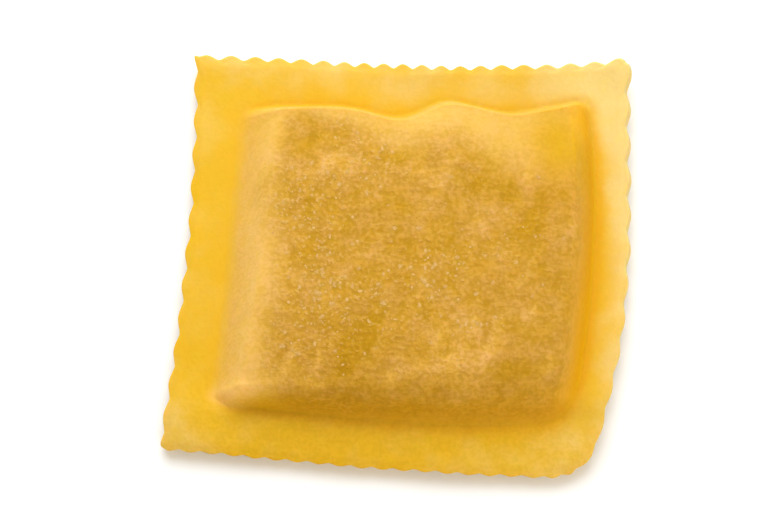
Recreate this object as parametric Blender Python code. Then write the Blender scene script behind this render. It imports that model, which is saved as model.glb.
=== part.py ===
"""One square of filled pasta with a fluted edge, lying flat with its full side up.

Two sheets of dough are pressed together round a filling. The flat rim that they form is cut with a fluted
wheel, and the filling stands up as a pillow inside it. The back edge lies towards +Y and the right-hand
edge towards +X. The origin is on the resting surface, under the middle of the piece. Lengths are in metres.
"""

import math
from dataclasses import dataclass, replace

import bmesh
import bpy
from mathutils import Vector

MM = 0.001

RIM_THICKNESS = 1.7 * MM
EDGE_THICKNESS = 1.3 * MM
RIM_MIDDLE_HEIGHT = 2.0 * MM
RIM_RIPPLE = 0.14 * MM
RIM_RIPPLE_LENGTH = 15.0 * MM
RIM_LIFT_POWER = 1.6

PILLOW_HEIGHT = 5.8 * MM
CROWN_SHARE = 0.30

# How soon each flank of the pillow levels off, and how softly it rises from the crease
FLANK_ROUNDINGS = (2.6, 1.7, 1.35, 1.7)
FLANK_FEET = (1.5, 1.3, 1.25, 1.7)

# The groove where the pillow meets the rim, whose width is counted in slope widths
CREASE_DEPTHS = (0.16 * MM, 0.26 * MM, 0.06 * MM, 0.03 * MM)
CREASE_WIDTH = 0.30

# How much further off a side has to be to lose most of its weight against the nearest one
SIDE_BLEND = 2.5 * MM

# The shares of the rim's width over which the fluting fades out and the edge is pressed thin
FLUTE_FADE = 0.3
EDGE_TAPER = 0.25

# Steps on each side of the outermost rings, which are thinned to a half and to a quarter further in
LONG_SIDE_STEPS = 80
SHORT_SIDE_STEPS = 72

# The power by which the gaps to two sides add up round a corner: 2 is a round corner, more a squarer one
SQUARENESS = 2.6

# How far a corner's curve starts before the corner, for each unit of the rounding that it follows
CORNER_REACH = 0.85

# The way over which the seam's slope is measured
LEAN_STEP = 0.05 * MM

DOUGH_COLOUR = (0.74, 0.45, 0.085, 1.0)
DOUGH_ROUGHNESS = 0.62
SHARP_ANGLE = math.radians(50.0)


def ease(share):
    """Runs smoothly from 0 to 1 as the share does, and holds outside."""
    share = min(max(share, 0.0), 1.0)
    return share * share * (3.0 - 2.0 * share)


def bell(offset):
    """A smooth bump, 1 in its middle and nearly 0 two units away."""
    return math.exp(-offset * offset)


@dataclass(frozen=True)
class Wave:
    """A short stretch of a side that bends outwards, or with a negative shift inwards."""

    at: float
    shift: float
    half_width: float


@dataclass(frozen=True)
class Side:
    """A bowed side of a four-sided outline that is walked anticlockwise, seen from above."""

    start: Vector
    end: Vector
    bow: float
    bow_peak: float
    flutes: int = 0
    flute_depths: tuple = (0.0, 0.0)
    first_flute: float = 0.0
    flute_fades: tuple = (0.0, 0.0)
    drift: float = 0.0
    drift_turns: float = 1.0
    waves: tuple = ()

    @property
    def length(self):
        return (self.end - self.start).length

    @property
    def along(self):
        return (self.end - self.start).normalized()

    @property
    def outward(self):
        along = self.along
        return Vector((along.y, -along.x))

    def swell(self, share):
        """How far the side lies outside its chord, at a share of its length."""
        place = share * self.length
        swell = sum(wave.shift * bell((place - wave.at) / wave.half_width) for wave in self.waves)
        if 0.0 < share < 1.0:
            peak = self.bow_peak
            if peak < 0.5:
                share, peak = 1.0 - share, 1.0 - peak
            swell += self.bow * math.sin(math.pi * share ** (math.log(0.5) / math.log(peak)))
        return swell

    def point(self, share):
        """The point at a share of the side, before it is fluted."""
        share += self.drift * math.sin(self.drift_turns * math.tau * share)
        return self.start.lerp(self.end, share) + self.outward * self.swell(share)

    def valley(self, share):
        """How far the fluting cuts in at a share of the side.

        The first tip lies the first flute's share of a flute from the start. The depth changes evenly from
        the start to the end, and fades out where a corner comes to a point.
        """
        depth = self.flute_depths[0] + (self.flute_depths[1] - self.flute_depths[0]) * share
        for fade, gap in zip(self.flute_fades, (share, 1.0 - share)):
            if fade > 0.0:
                depth *= ease(gap * self.length / fade)
        wave = abs(math.cos(math.pi * (self.flutes * share - self.first_flute)))
        return depth * (1.0 - 0.5 * wave - 0.5 * wave * wave)

    def moved(self, start, end):
        """The same side between other ends, with its waves where they were."""
        shift = (start - self.start).dot(self.along)
        waves = tuple(replace(wave, at=wave.at - shift) for wave in self.waves)
        return replace(self, start=start, end=end, waves=waves)

    def share_beside(self, place):
        """The share of the side that a place lies beside."""
        return (place - self.start).dot(self.along) / self.length

    def distance_inside(self, place):
        """How far a place lies inside the side, below zero outside it."""
        return self.swell(self.share_beside(place)) - (place - self.start).dot(self.outward)


def corners(*places):
    """Turns (x, y) pairs in millimetres into points."""
    return [Vector((x * MM, y * MM)) for x, y in places]


CUT_CORNERS = corners((-25.4, -20.0), (20.1, -23.4), (25.8, 22.8), (-22.2, 23.4))
PILLOW_CORNERS = corners((-19.8, -15.6), (18.9, -17.3), (21.2, 17.5), (-16.9, 17.6))

# Each outline's sides, and each of the tuples below, run in the order front, right, back and left
CUT_SIDES = (
    Side(
        CUT_CORNERS[0], CUT_CORNERS[1], bow=0.40 * MM, bow_peak=0.55,
        flutes=20, flute_depths=(0.24 * MM, 0.26 * MM), first_flute=0.5, flute_fades=(0.9 * MM, 0.0),
    ),
    Side(
        CUT_CORNERS[1], CUT_CORNERS[2], bow=2.3 * MM, bow_peak=0.40,
        flutes=12, flute_depths=(0.26 * MM, 0.48 * MM), first_flute=0.5,
    ),
    Side(
        CUT_CORNERS[2], CUT_CORNERS[3], bow=-0.95 * MM, bow_peak=0.40,
        flutes=20, flute_depths=(0.50 * MM, 0.56 * MM), first_flute=0.5, flute_fades=(0.0, 0.9 * MM),
        drift=0.022,
    ),
    Side(
        CUT_CORNERS[3], CUT_CORNERS[0], bow=-1.05 * MM, bow_peak=0.50,
        flutes=12, flute_depths=(0.42 * MM, 0.38 * MM), drift=0.010, drift_turns=0.5,
    ),
)
BACK_WAVES = (
    Wave(0.8 * MM, 0.6 * MM, 2.4 * MM),
    Wave(8.6 * MM, -0.8 * MM, 3.0 * MM),
    Wave(16.0 * MM, 0.7 * MM, 2.6 * MM),
    Wave(21.0 * MM, -1.3 * MM, 3.8 * MM),
)
PILLOW_SIDES = (
    Side(PILLOW_CORNERS[0], PILLOW_CORNERS[1], bow=1.05 * MM, bow_peak=0.60),
    Side(PILLOW_CORNERS[1], PILLOW_CORNERS[2], bow=1.20 * MM, bow_peak=0.52),
    Side(PILLOW_CORNERS[2], PILLOW_CORNERS[3], bow=0.0, bow_peak=0.50, waves=BACK_WAVES),
    Side(PILLOW_CORNERS[3], PILLOW_CORNERS[0], bow=-0.25 * MM, bow_peak=0.60),
)
RIM_WIDTHS = (5.1 * MM, 3.9 * MM, 4.8 * MM, 5.1 * MM)

# How far the corner at which each side of the cut starts is rounded on the side before and on that side
CUT_ROUNDINGS = ((1.3 * MM, 1.3 * MM), (5.0 * MM, 4.4 * MM), (1.2 * MM, 1.2 * MM), (0.3 * MM, 0.3 * MM))

# How far the rim's outer edge is lifted at the start and at the end of each side
RIM_LIFTS = ((-1.0 * MM, -0.8 * MM), (0.2 * MM, 0.9 * MM), (0.5 * MM, 0.1 * MM), (-0.2 * MM, -0.1 * MM))


@dataclass(frozen=True)
class Slope:
    """A slope that runs in from the pillow's crease on all four sides, with rounded corners.

    A step is the width of the slope, which is given in millimetres for the start and for the end of each side
    and changes evenly between them. Each corner at which a side starts is rounded over a number of steps.
    """

    widths: tuple
    corner_roundings: tuple

    def width(self, number, place):
        """The width of the slope up from one of the sides, beside a place."""
        start, end = self.widths[number]
        share = min(max(PILLOW_SIDES[number].share_beside(place), 0.0), 1.0)
        return (start + (end - start) * share) * MM

    def rounding(self, place):
        """How many steps the corners are rounded over, blended at a place from all four."""
        front_left, front_right, back_right, back_left = self.corner_roundings
        rightward = ease(PILLOW_SIDES[0].share_beside(place))
        backward = ease(PILLOW_SIDES[1].share_beside(place))
        front = front_left + (front_right - front_left) * rightward
        back = back_left + (back_right - back_left) * rightward
        return front + (back - front) * backward

    def steps(self, place):
        """How many steps a place lies inside the crease, up to the rounding and below zero outside it."""
        rounding = self.rounding(place)
        gaps = [
            max(rounding - side.distance_inside(place) / self.width(number, place), 0.0)
            for number, side in enumerate(PILLOW_SIDES)
        ]
        return rounding - sum(gap**SQUARENESS for gap in gaps) ** (1.0 / SQUARENESS)

    def ring(self, thinning, steps):
        """The plan points of a ring that lies a number of steps inside the crease."""
        starts = []
        roundings = []
        for number, side in enumerate(PILLOW_SIDES):
            before = PILLOW_SIDES[number - 1]
            before_width = self.widths[number - 1][1] * MM
            width = self.widths[number][0] * MM
            starts.append(side.start - (before.outward * before_width + side.outward * width) * steps)
            reach = CORNER_REACH * max(self.rounding(side.start) - steps, 0.0)
            roundings.append((reach * before_width, reach * width))
        ends = starts[1:] + starts[:1]
        sides = [side.moved(start, end) for side, start, end in zip(PILLOW_SIDES, starts, ends)]
        return [place for _, _, place, _ in walk(sides, roundings, thinning)]


FLANK = Slope(((1.8, 5.2), (2.8, 2.5), (1.5, 1.5), (4.8, 3.7)), (1.0, 1.25, 1.0, 1.2))
CROWN = Slope(((11.0, 11.0), (11.5, 11.5), (10.0, 10.0), (16.0, 16.0)), (1.0, 1.0, 1.0, 1.0))
BELLY = Slope(((5.6, 5.6), (5.6, 5.6), (5.6, 5.6), (5.6, 5.6)), (1.4, 1.4, 1.4, 1.4))


@dataclass(frozen=True)
class Hollow:
    """A soft hollow, or with a negative depth a swelling, in the top of the pillow."""

    x: float
    y: float
    half_length: float
    half_width: float
    turn: float
    depth: float

    def depth_at(self, place):
        """How deep the hollow is at a place."""
        across, up = place.x - self.x, place.y - self.y
        length = (across * math.cos(self.turn) + up * math.sin(self.turn)) / self.half_length
        width = (up * math.cos(self.turn) - across * math.sin(self.turn)) / self.half_width
        return self.depth * bell(math.hypot(length, width))


HOLLOWS = (
    Hollow(17.6 * MM, 12.0 * MM, 2.2 * MM, 4.2 * MM, 0.1, 0.45 * MM),
    Hollow(-8.6 * MM, 13.4 * MM, 3.4 * MM, 1.7 * MM, -0.5, 0.30 * MM),
    Hollow(0.0 * MM, 13.0 * MM, 2.6 * MM, 3.0 * MM, 0.0, 0.40 * MM),
    Hollow(10.5 * MM, -6.5 * MM, 4.0 * MM, 2.2 * MM, 1.3, 0.28 * MM),
    Hollow(-3.0 * MM, -7.5 * MM, 5.0 * MM, 2.6 * MM, 0.5, 0.25 * MM),
    Hollow(-12.0 * MM, -2.0 * MM, 3.0 * MM, 6.0 * MM, 0.2, -0.25 * MM),
    Hollow(3.8 * MM, 16.4 * MM, 3.0 * MM, 1.8 * MM, 0.0, 0.80 * MM),
)


def by_side(place, values):
    """Blends four values, one for each of the pillow's sides, by how near a place is to the sides."""
    gaps = [side.distance_inside(place) for side in PILLOW_SIDES]
    weights = [math.exp((min(gaps) - gap) / SIDE_BLEND) for gap in gaps]
    return sum(weight * value for weight, value in zip(weights, values)) / sum(weights)


def seam_height(place):
    """The height of the seam between the two sheets, which lifts and ripples towards the cut."""
    height = RIM_MIDDLE_HEIGHT
    furthest = 0.0
    for side, width, (start_lift, end_lift) in zip(PILLOW_SIDES, RIM_WIDTHS, RIM_LIFTS):
        out = max(-side.distance_inside(place) / width, 0.0)
        lift = start_lift + (end_lift - start_lift) * ease(side.share_beside(place))
        height += lift * out**RIM_LIFT_POWER
        furthest = max(furthest, out)
    turn = math.tau / RIM_RIPPLE_LENGTH
    ripple = math.sin(turn * (place.x + 0.4 * place.y)) * math.cos(turn * (place.y - 0.3 * place.x))
    return height + RIM_RIPPLE * min(furthest, 1.0) * ripple


def seam_lean(place):
    """How far the seam rises along X and along Y, for each unit of the way."""
    here = seam_height(place)
    along_x = seam_height(place + Vector((LEAN_STEP, 0.0))) - here
    along_y = seam_height(place + Vector((0.0, LEAN_STEP))) - here
    return Vector((along_x, along_y)) / LEAN_STEP


def half_thickness(rim_share):
    """Half the rim's thickness, which is pressed thinner towards the cut."""
    return (EDGE_THICKNESS + (RIM_THICKNESS - EDGE_THICKNESS) * ease(rim_share / EDGE_TAPER)) / 2


def top_height(place, rim_share):
    """The height of the upper sheet at a place, which lies this share of the rim in from the cut."""
    steps = FLANK.steps(place)
    left_to_rise = (1.0 - min(max(steps, 0.0), 1.0)) ** by_side(place, FLANK_ROUNDINGS)
    flank = (1.0 - left_to_rise) ** by_side(place, FLANK_FEET)
    crown = 1.0 - (1.0 - max(CROWN.steps(place), 0.0)) ** 2
    pillow = PILLOW_HEIGHT * ((1.0 - CROWN_SHARE) * flank + CROWN_SHARE * crown)
    crease = by_side(place, CREASE_DEPTHS) * bell(steps / CREASE_WIDTH)
    hollows = sum(hollow.depth_at(place) for hollow in HOLLOWS) * ease(steps)
    return seam_height(place) + half_thickness(rim_share) + pillow - crease - hollows


def bottom_height(place, rim_share):
    """The height of the lower sheet, whose shallow belly is flat where it rests."""
    return (seam_height(place) - half_thickness(rim_share)) * (1.0 - ease(BELLY.steps(place)))


def bend(first, corner, last, turn):
    """A point on the curve that rounds a corner."""
    return first.lerp(corner, turn).lerp(corner.lerp(last, turn), turn)


def walk(sides, roundings, thinning):
    """Walks round an outline, giving (its side, the share of it, the point there, the way outwards).

    A rounding is given for the corner where each side starts: its reach on the side before and on this one.
    """
    for number, side in enumerate(sides):
        before, after = sides[number - 1], sides[(number + 1) % 4]
        before_reach = roundings[number][0] / before.length
        start_reach = roundings[number][1] / side.length
        end_reach = roundings[(number + 1) % 4][0] / side.length
        after_reach = roundings[(number + 1) % 4][1] / after.length
        steps = (SHORT_SIDE_STEPS if number % 2 else LONG_SIDE_STEPS) // thinning
        for step in range(steps):
            share = step / steps
            place = side.point(share)
            outward = side.outward
            if share < start_reach:
                turn = 0.5 + 0.5 * share / start_reach
                place = bend(before.point(1.0 - before_reach), side.start, side.point(start_reach), turn)
                outward = before.outward.lerp(side.outward, turn).normalized()
            elif share > 1.0 - end_reach:
                turn = 0.5 - 0.5 * (1.0 - share) / end_reach
                place = bend(side.point(1.0 - end_reach), side.end, after.point(after_reach), turn)
                outward = side.outward.lerp(after.outward, turn).normalized()
            yield side, share, place, outward


def rim_ring(thinning, rim_share):
    """A ring a share of the way from the cut to the crease, as (plan point, that share)."""
    fluting = 1.0 - ease(rim_share / FLUTE_FADE)
    cut = [
        place - outward * side.valley(share) * fluting
        for side, share, place, outward in walk(CUT_SIDES, CUT_ROUNDINGS, thinning)
    ]
    crease = FLANK.ring(thinning, 0.0)
    return [(outer.lerp(inner, rim_share), rim_share) for outer, inner in zip(cut, crease)]


def slope_ring(slope, thinning, steps):
    """A ring a number of steps down a slope, as (plan point, the whole share of the rim)."""
    return [(place, 1.0) for place in slope.ring(thinning, steps)]


def raise_ring(mesh, ring, height, upward):
    """Makes a ring's vertices at the height that the given function finds, square to the seam at the cut."""
    vertices = []
    for place, rim_share in ring:
        offset = half_thickness(rim_share) * (1.0 - ease(rim_share))
        moved = place - seam_lean(place) * (offset if upward else -offset)
        vertices.append(mesh.verts.new((moved.x, moved.y, height(place, rim_share))))
    return vertices


def join_rings(mesh, outer, inner, upward):
    """Joins two rings of as many vertices, or an outer ring to one of half as many."""
    count = len(inner)
    for index in range(count):
        after = (index + 1) % count
        if len(outer) == count:
            faces = [(outer[index], outer[after], inner[after], inner[index])]
        else:
            first, middle, last = (outer[(2 * index + step) % len(outer)] for step in range(3))
            faces = [
                (first, middle, inner[index]),
                (middle, inner[after], inner[index]),
                (middle, last, inner[after]),
            ]
        for face in faces:
            mesh.faces.new(face if upward else face[::-1])


def fill_ring(mesh, ring, height, upward):
    """Fills a ring with a grid, whose plan points run evenly between the ring's four sides."""
    columns = LONG_SIDE_STEPS // 4
    rows = SHORT_SIDE_STEPS // 4
    front = ring[: columns + 1]
    right = ring[columns : columns + rows + 1]
    back = ring[columns + rows : 2 * columns + rows + 1][::-1]
    left = [ring[0], *ring[2 * columns + rows :][::-1]]
    grid = [front]
    for row in range(1, rows):
        up = row / rows
        line = [left[row]]
        for column in range(1, columns):
            over = column / columns
            across = left[row].co.lerp(right[row].co, over) + front[column].co.lerp(back[column].co, up)
            corner = front[0].co.lerp(front[-1].co, over).lerp(back[0].co.lerp(back[-1].co, over), up)
            place = (across - corner).xy
            line.append(mesh.verts.new((place.x, place.y, height(place, 1.0))))
        line.append(right[row])
        grid.append(line)
    grid.append(back)
    for low, high in zip(grid, grid[1:]):
        for column in range(columns):
            face = (low[column], low[column + 1], high[column + 1], high[column])
            mesh.faces.new(face if upward else face[::-1])


def make_sheet(mesh, height, rings, upward):
    """Makes one sheet from its outer ring to its middle, and returns its outermost vertices."""
    raised = [raise_ring(mesh, ring, height, upward) for ring in rings]
    for outer, inner in zip(raised, raised[1:]):
        join_rings(mesh, outer, inner, upward)
    fill_ring(mesh, raised[-1], height, upward)
    return raised[0]


def make_ravioli():
    """Models the piece as one closed body."""
    edge_rings = [rim_ring(1, 0.0), rim_ring(1, 0.1), rim_ring(2, 0.3), rim_ring(2, 0.6)]
    top_rings = [
        *edge_rings,
        rim_ring(2, 0.86),
        *[slope_ring(FLANK, 2, steps) for steps in (0.0, 0.13, 0.32, 0.55, 0.82, 1.15)],
        slope_ring(FLANK, 4, 1.8),
    ]
    bottom_rings = [*edge_rings, *[slope_ring(BELLY, 4, steps) for steps in (0.0, 0.35, 0.7, 1.05)]]

    mesh = bmesh.new()
    top = make_sheet(mesh, top_height, top_rings, upward=True)
    bottom = make_sheet(mesh, bottom_height, bottom_rings, upward=False)
    join_rings(mesh, bottom, top, upward=True)

    low = Vector(min(vertex.co[axis] for vertex in mesh.verts) for axis in range(3))
    high = Vector(max(vertex.co[axis] for vertex in mesh.verts) for axis in range(3))
    middle = (low + high) / 2
    bmesh.ops.translate(mesh, verts=mesh.verts, vec=(-middle.x, -middle.y, -low.z))

    data = bpy.data.meshes.new("ravioli")
    mesh.to_mesh(data)
    mesh.free()
    data.shade_smooth()
    data.set_sharp_from_angle(angle=SHARP_ANGLE)
    return data


def egg_dough():
    """The fresh egg dough of both sheets."""
    material = bpy.data.materials.new("egg_dough")
    material.use_nodes = True
    shader = material.node_tree.nodes["Principled BSDF"]
    shader.inputs["Base Color"].default_value = DOUGH_COLOUR
    shader.inputs["Roughness"].default_value = DOUGH_ROUGHNESS
    shader.inputs["Metallic"].default_value = 0.0
    return material


def main():
    for old in list(bpy.data.objects):
        bpy.data.objects.remove(old, do_unlink=True)
    ravioli = bpy.data.objects.new("ravioli", make_ravioli())
    ravioli.data.materials.append(egg_dough())
    bpy.context.collection.objects.link(ravioli)


main()
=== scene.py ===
"""Dresses one square of raw filled egg pasta: its floury pillow, its smooth rim and its semolina.

The piece lies flat with its full side up. The back edge lies towards +Y and the right-hand edge towards +X.
Lengths are in metres.
"""

import logging
import math
from collections.abc import Iterable
from dataclasses import dataclass, field, replace
from enum import IntEnum
from functools import partial, reduce

import bmesh
import bpy
import numpy as np
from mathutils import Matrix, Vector, noise

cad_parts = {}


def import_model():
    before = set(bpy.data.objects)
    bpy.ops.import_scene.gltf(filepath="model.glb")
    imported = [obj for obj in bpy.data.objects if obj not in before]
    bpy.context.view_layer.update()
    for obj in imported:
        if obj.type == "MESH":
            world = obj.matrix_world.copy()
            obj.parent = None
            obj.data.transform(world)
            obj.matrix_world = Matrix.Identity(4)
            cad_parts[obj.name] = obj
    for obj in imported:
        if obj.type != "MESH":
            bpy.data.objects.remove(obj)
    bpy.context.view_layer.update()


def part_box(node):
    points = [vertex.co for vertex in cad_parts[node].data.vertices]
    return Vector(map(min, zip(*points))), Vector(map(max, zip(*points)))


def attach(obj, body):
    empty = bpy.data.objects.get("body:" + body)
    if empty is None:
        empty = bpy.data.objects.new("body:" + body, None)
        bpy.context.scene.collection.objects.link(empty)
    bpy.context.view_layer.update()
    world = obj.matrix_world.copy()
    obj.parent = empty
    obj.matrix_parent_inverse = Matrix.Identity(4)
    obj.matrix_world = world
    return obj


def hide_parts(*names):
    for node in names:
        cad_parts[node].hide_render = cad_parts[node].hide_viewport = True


MM = 0.001
NODE = "ravioli"
LEAST_REACH = 1e-9

Places = np.ndarray
Points = np.ndarray
Values = np.ndarray
Pair = tuple[float, float]
Pairs = tuple[Pair, ...]
Triple = tuple[float, float, float]
Four = tuple[float, float, float, float]
Socket = bpy.types.NodeSocket
Given = Socket | float | Triple

COOL_LIGHT: Triple = (0.88, 0.94, 1.0)
WARM_LIGHT: Triple = (1.0, 0.945, 0.86)
# Attributes on the dough: parts of it, and where light and shade are painted.
MASKS = (
    "pillow", "floury", "crease", "thin", "dusting", "grit",
    "back", "right", "bare", "foot", "painted_glow", "painted_front_shade",
)

LOG = logging.getLogger("ravioli")


class Edge(IntEnum):
    """The four edges of the square, in the order in which an outline is walked."""

    FRONT = 0
    RIGHT = 1
    BACK = 2
    LEFT = 3


def ease(shares: Values) -> Values:
    """Runs smoothly from 0 to 1 as the shares do, and holds outside."""
    held = np.clip(shares, 0.0, 1.0)
    return held * held * (3.0 - 2.0 * held)


def bell(offsets: Values) -> Values:
    """A smooth bump, 1 in its middle and nearly 0 two units away."""
    return np.exp(-offsets * offsets)


def rise(values: Values, start: float | Values, width: float | Values) -> Values:
    """Runs smoothly from 0 at the start to 1 at a width further on."""
    return ease((values - start) / width)


def span(ends: tuple[float | Values, float | Values], shares: float | Values) -> float | Values:
    """Runs evenly from the first of two values to the other, as the shares run from 0 to 1."""
    return ends[0] + (ends[1] - ends[0]) * shares


@dataclass(frozen=True)
class Cloud:
    """Soft noise: the rough size of its lumps along X, Y and Z in millimetres, and what sets it apart."""

    sizes: Triple
    shift: float
    strength: float = 1.6

    def values(self, points: Points) -> Values:
        """A value for each point, from about -1 to 1."""
        scaled = points / (np.array(self.sizes) * MM) + self.shift
        return np.array([noise.noise(Vector(point)) for point in scaled.tolist()]) * self.strength


@dataclass(frozen=True)
class Wave:
    """A short stretch of a side that bends outwards, or with a negative shift inwards."""

    at: float
    shift: float
    half_width: float


@dataclass(frozen=True)
class Side:
    """A bowed side of a four-sided outline that is walked anticlockwise, seen from above."""

    start: Pair
    end: Pair
    bow: float
    bow_peak: float
    flutes: int = 0
    flute_depths: Pair = (0.0, 0.0)
    first_flute: float = 0.0
    flute_fades: Pair = (0.0, 0.0)
    drift: float = 0.0
    drift_turns: float = 1.0
    waves: tuple[Wave, ...] = ()

    @property
    def chord(self) -> np.ndarray:
        """The way from the start to the end."""
        return np.subtract(self.end, self.start)

    @property
    def length(self) -> float:
        """The length of the chord."""
        return float(np.hypot(*self.chord))

    @property
    def outward(self) -> np.ndarray:
        """The direction out of the outline, at right angles to the chord."""
        along = self.chord / self.length
        return np.array((along[1], -along[0]))

    def waves_from(self, start: Places) -> tuple[Wave, ...]:
        """The waves, measured from another start."""
        moved = float((np.array(start) - self.start) @ self.chord) / self.length
        return tuple(replace(wave, at=wave.at - moved) for wave in self.waves)

    def swells(self, shares: Values) -> Values:
        """How far the side lies outside its chord.

        Args:
            shares: Shares of the side's length.

        Returns:
            A distance for each share.
        """
        held = np.clip(shares, 0.0, 1.0)
        peak = self.bow_peak
        if peak < 0.5:
            held, peak = 1.0 - held, 1.0 - peak
        swell = self.bow * np.sin(np.pi * held ** (math.log(0.5) / math.log(peak)))
        for wave in self.waves:
            swell = swell + wave.shift * bell((shares * self.length - wave.at) / wave.half_width)
        return swell

    def places(self, shares: Values) -> Places:
        """The points at shares of the side, before it is fluted."""
        drifted = (shares + self.drift * np.sin(self.drift_turns * math.tau * shares))[:, None]
        return np.array(self.start) + drifted * self.chord + self.swells(drifted) * self.outward

    def valleys(self, shares: Values) -> Values:
        """How far the fluting cuts in. The first tip lies the first flute's share of a flute from the start.

        The depth changes evenly from the start to the end, and fades out where a corner comes to a point.

        Args:
            shares: Shares of the side's length.

        Returns:
            A depth for each share.
        """
        wave = np.abs(np.cos(np.pi * (self.flutes * shares - self.first_flute)))
        depths = span(self.flute_depths, shares)
        for fade, gaps in zip(self.flute_fades, (shares, 1.0 - shares)):
            if fade > 0.0:
                depths = depths * ease(gaps * self.length / fade)
        return depths * (1.0 - 0.5 * wave - 0.5 * wave * wave)

    def shares_beside(self, places: Places) -> Values:
        """The share of the side that each place lies beside."""
        return (places - self.start) @ (self.chord / self.length**2)

    def distances_inside(self, places: Places) -> Values:
        """How far each place lies inside the side, below zero outside it."""
        return self.swells(self.shares_beside(places)) - (places - self.start) @ self.outward


@dataclass(frozen=True)
class Ring:
    """A closed line of plan points, with what is known of each."""

    places: Places
    outward: Places
    valleys: Values
    rim_share: float = 1.0


@dataclass(frozen=True)
class Outline:
    """Four sides, and how far the corner at which each one starts is rounded on the side before and on it."""

    sides: tuple[Side, Side, Side, Side]
    roundings: Pairs

    def walk(self, long_steps: int, short_steps: int) -> Ring:
        """Walks round the outline.

        Args:
            long_steps: Steps along the front and the back.
            short_steps: Steps along the right and the left.

        Returns:
            The ring of points on the way, before it is fluted.
        """
        places, outward, valleys = [], [], []
        for edge in Edge:
            before, side, after = (self.sides[(edge + turn) % 4] for turn in (-1, 0, 1))
            steps = short_steps if edge in (Edge.RIGHT, Edge.LEFT) else long_steps
            shares = np.arange(steps) / steps
            line = side.places(shares)
            ways = np.repeat(side.outward[None, :], steps, axis=0)
            behind, onward = self.roundings[edge], self.roundings[(edge + 1) % 4]
            for near, reach, far, far_reach, starting in (
                (side, behind[1], before, behind[0], True),
                (side, onward[0], after, onward[1], False),
            ):
                share_reach = max(reach / near.length, LEAST_REACH)
                to_corner = shares if starting else 1.0 - shares
                turning = to_corner < share_reach
                turn = 0.5 * (1.0 - to_corner[turning] / share_reach)[:, None]
                corner = np.array(side.start if starting else side.end)
                near_share = share_reach if starting else 1.0 - share_reach
                far_share = 1.0 - far_reach / far.length if starting else far_reach / far.length
                first = side.places(np.array([near_share]))
                last = far.places(np.array([far_share]))
                inner, outer = first + (corner - first) * turn, corner + (last - corner) * turn
                line[turning] = inner + (outer - inner) * turn
                way = side.outward + (far.outward - side.outward) * turn
                ways[turning] = way / np.linalg.norm(way, axis=1, keepdims=True)
            places.append(line)
            outward.append(ways)
            valleys.append(side.valleys(shares))
        return Ring(np.concatenate(places), np.concatenate(outward), np.concatenate(valleys))


@dataclass(frozen=True)
class Slope:
    """A slope that runs in from the pillow's crease, a step being its width at the place in question.

    Its width is given for the start and the end of each side, and changes evenly between them.
    """

    filling: tuple[Side, Side, Side, Side]
    widths: Pairs
    corner_roundings: Four
    squareness: float = 2.6
    corner_reach: float = 0.85

    def roundings(self, places: Places) -> Values:
        """How many steps the corners are rounded over.

        Args:
            places: Plan points.

        Returns:
            A count for each place.
        """
        front_left, front_right, back_right, back_left = self.corner_roundings
        rightward = ease(self.filling[Edge.FRONT].shares_beside(places))
        backward = ease(self.filling[Edge.RIGHT].shares_beside(places))
        front = span((front_left, front_right), rightward)
        return span((front, span((back_left, back_right), rightward)), backward)

    def steps(self, places: Places) -> Values:
        """How many steps each place lies inside the crease.

        Args:
            places: Plan points.

        Returns:
            A count for each place, up to the rounding, and below zero outside the crease.
        """
        rounding = self.roundings(places)
        total = np.zeros(len(places))
        for side, ends in zip(self.filling, self.widths):
            width = span(ends, np.clip(side.shares_beside(places), 0.0, 1.0))
            gap = np.maximum(rounding - side.distances_inside(places) / width, 0.0)
            total += gap**self.squareness
        return rounding - total ** (1.0 / self.squareness)

    def ring(self, steps: float, long_steps: int, short_steps: int) -> Ring:
        """A ring that lies a number of steps inside the crease.

        Args:
            steps: How many slope widths inside.
            long_steps: Steps along the front and the back.
            short_steps: Steps along the right and the left.

        Returns:
            The ring.
        """
        corner_widths = [(self.widths[number - 1][1], self.widths[number][0]) for number in range(4)]
        starts = []
        for number, (side, (behind, onward)) in enumerate(zip(self.filling, corner_widths)):
            move = self.filling[number - 1].outward * behind + side.outward * onward
            starts.append(tuple(np.array(side.start) - move * steps))
        ends = starts[1:] + starts[:1]
        sides = tuple(
            replace(side, start=start, end=end, waves=side.waves_from(start))
            for side, start, end in zip(self.filling, starts, ends)
        )
        corners = np.array([side.start for side in self.filling])
        reaches = self.corner_reach * np.maximum(self.roundings(corners) - steps, 0.0)
        roundings = tuple(
            (reach * behind, reach * onward) for reach, (behind, onward) in zip(reaches, corner_widths)
        )
        return Outline(sides, roundings).walk(long_steps, short_steps)


@dataclass(frozen=True)
class Hollow:
    """A soft hollow, or with a negative depth a swelling, in the top of the pillow."""

    x: float
    y: float
    half_length: float
    half_width: float
    turn: float
    depth: float

    def depths(self, places: Places) -> Values:
        """How deep the hollow is.

        Args:
            places: Plan points.

        Returns:
            A depth for each place.
        """
        across, up = places[:, 0] - self.x, places[:, 1] - self.y
        length = (across * math.cos(self.turn) + up * math.sin(self.turn)) / self.half_length
        width = (up * math.cos(self.turn) - across * math.sin(self.turn)) / self.half_width
        return self.depth * bell(np.hypot(length, width))


def hollow(x: float, y: float, half_length: float, half_width: float, turn: float, depth: float) -> Hollow:
    """A hollow whose place and size are in millimetres, and whose depth is only a share."""
    return Hollow(x * MM, y * MM, half_length * MM, half_width * MM, turn, depth)


def hollows(*rows: tuple[float, ...]) -> tuple[Hollow, ...]:
    """A hollow for each row of numbers."""
    return tuple(hollow(*row) for row in rows)


def millimetres(*pairs: Pair) -> Pairs:
    """Turns pairs in millimetres into metres."""
    return tuple((first * MM, second * MM) for first, second in pairs)


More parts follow.
